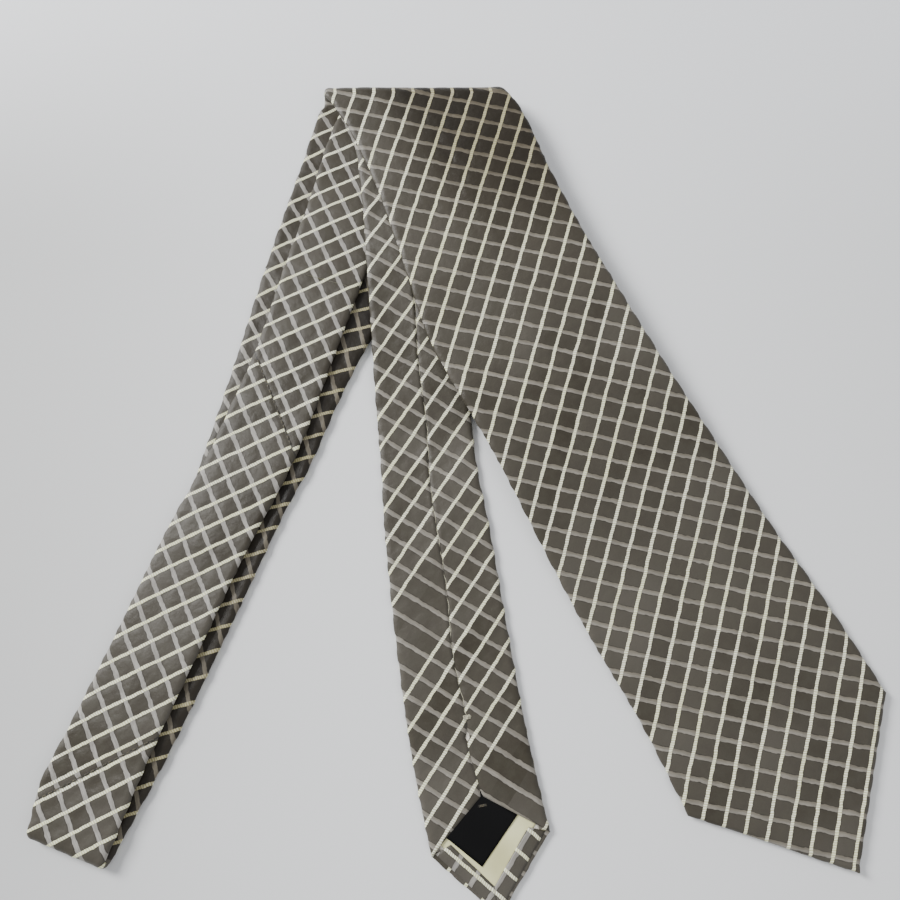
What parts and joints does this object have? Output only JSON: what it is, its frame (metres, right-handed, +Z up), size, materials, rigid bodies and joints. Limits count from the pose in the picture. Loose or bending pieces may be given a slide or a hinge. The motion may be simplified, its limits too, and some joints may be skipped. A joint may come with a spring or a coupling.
{
  "type": "necktie",
  "caption": "Necktie laid flat, folded in half at the neck and over again at the top; opens at the folds and lifts at its ends.",
  "frame": {"origin": "on the resting face of the under run, 15 mm below the middle of the top fold", "axes": "+Z up out of the table, +Y from the pointed ends towards the top fold, +X towards the wide blade's side"},
  "size_m": [0.3423, 0.3639, 0.012],
  "materials": {
    "shell_silk": "satin",
    "interlining_wool": "matte",
    "tipping_satin": "satin",
    "label_tape": "satin",
    "sewing_thread": "matte"
  },
  "bodies": {
    "folded_base": {"blade_shell_under": "shell_silk", "tail_shell_fold": "shell_silk", "neck_shell_upper": "shell_silk", "interlining_under": "interlining_wool", "interlining_fold": "interlining_wool", "slip_stitch_under": "sewing_thread", "slip_stitch_fold": "sewing_thread", "tail_panel_seam": "sewing_thread"},
    "blade_top": {"blade_shell_top": "shell_silk", "interlining_blade_top": "interlining_wool", "slip_stitch_blade_top": "sewing_thread"},
    "blade_end": {"blade_shell_end": "shell_silk", "interlining_blade_end": "interlining_wool", "blade_tipping": "tipping_satin", "slip_stitch_blade_end": "sewing_thread", "blade_bar_tack": "sewing_thread", "keeper_loop": "shell_silk", "keeper_stitches": "sewing_thread"},
    "tail_top": {"tail_shell_top": "shell_silk", "interlining_tail_top": "interlining_wool", "slip_stitch_tail_top": "sewing_thread"},
    "tail_end": {"tail_shell_end": "shell_silk", "interlining_tail_end": "interlining_wool", "tail_tipping": "tipping_satin", "slip_stitch_tail_end": "sewing_thread", "tail_bar_tack": "sewing_thread"},
    "neck_end": {"blade_shell_neck": "shell_silk", "neck_shell_lower": "shell_silk", "interlining_neck": "interlining_wool", "slip_stitch_neck": "sewing_thread", "blade_panel_seam": "sewing_thread"},
    "care_label": {"care_label": "label_tape", "label_stitch": "sewing_thread"}
  },
  "joints": [
    {"name": "top_fold", "type": "hinge", "parent": "folded_base", "child": "blade_top", "pos_m": [0, 0.015, 0.006], "axis": [-1, 0, 0], "range_deg": [0, 150]},
    {"name": "inner_fold", "type": "hinge", "parent": "folded_base", "child": "tail_top", "pos_m": [-0.017, 0.006, 0.006], "axis": [-0.9969, 0.0785, 0], "range_deg": [0, 141]},
    {"name": "blade_lift", "type": "hinge", "parent": "blade_top", "child": "blade_end", "pos_m": [0.0652, -0.1289, 0.0106], "axis": [-0.8771, -0.4802, 0], "range_deg": [0, 90]},
    {"name": "tail_lift", "type": "hinge", "parent": "tail_top", "child": "tail_end", "pos_m": [0.0056, -0.1688, 0.0026], "axis": [-0.9874, -0.1582, 0], "range_deg": [0, 75]},
    {"name": "neck_lift", "type": "hinge", "parent": "folded_base", "child": "neck_end", "pos_m": [-0.073, -0.1712, 0.0056], "axis": [-0.9311, 0.3649, 0], "range_deg": [0, 90]},
    {"name": "label_lift", "type": "hinge", "parent": "tail_end", "child": "care_label", "pos_m": [0.02766, -0.30654, 0.0026], "axis": [-0.9874, -0.1582, 0], "range_deg": [0, 150]}
  ],
  "couplings": [
    {"joint": "inner_fold", "follows": "top_fold", "ratio": 0.94}
  ]
}
